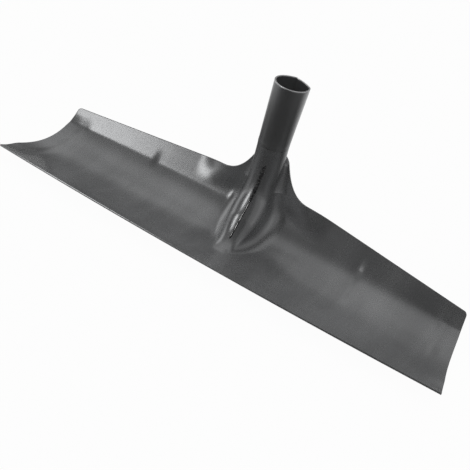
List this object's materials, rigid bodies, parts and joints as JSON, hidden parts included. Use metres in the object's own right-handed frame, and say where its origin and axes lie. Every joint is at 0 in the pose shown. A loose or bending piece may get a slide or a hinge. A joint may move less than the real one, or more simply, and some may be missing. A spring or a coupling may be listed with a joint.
{
  "type": "barn scraper",
  "caption": "Wide curved scraper blade pressed from steel sheet, drawn up into a neck that carries a rolled conical socket for a long handle.",
  "frame": {"origin": "middle of the overall box in X and Y, at the lowest point of the blade", "axes": "+Z along the socket axis towards the handle, +X along the blade, -Y to the front, the hollow side of the blade"},
  "size_m": [0.6, 0.1486, 0.2068],
  "materials": {
    "blade": "satin dark grey lacquer on sheet steel",
    "socket": "satin dark grey lacquer on rolled sheet steel",
    "weld": "lacquered weld metal"
  },
  "bodies": {
    "root": {"blade": "blade", "socket": "socket", "root_weld": "weld", "crest_weld": "weld", "seam_weld": "weld"}
  },
  "joints": []
}
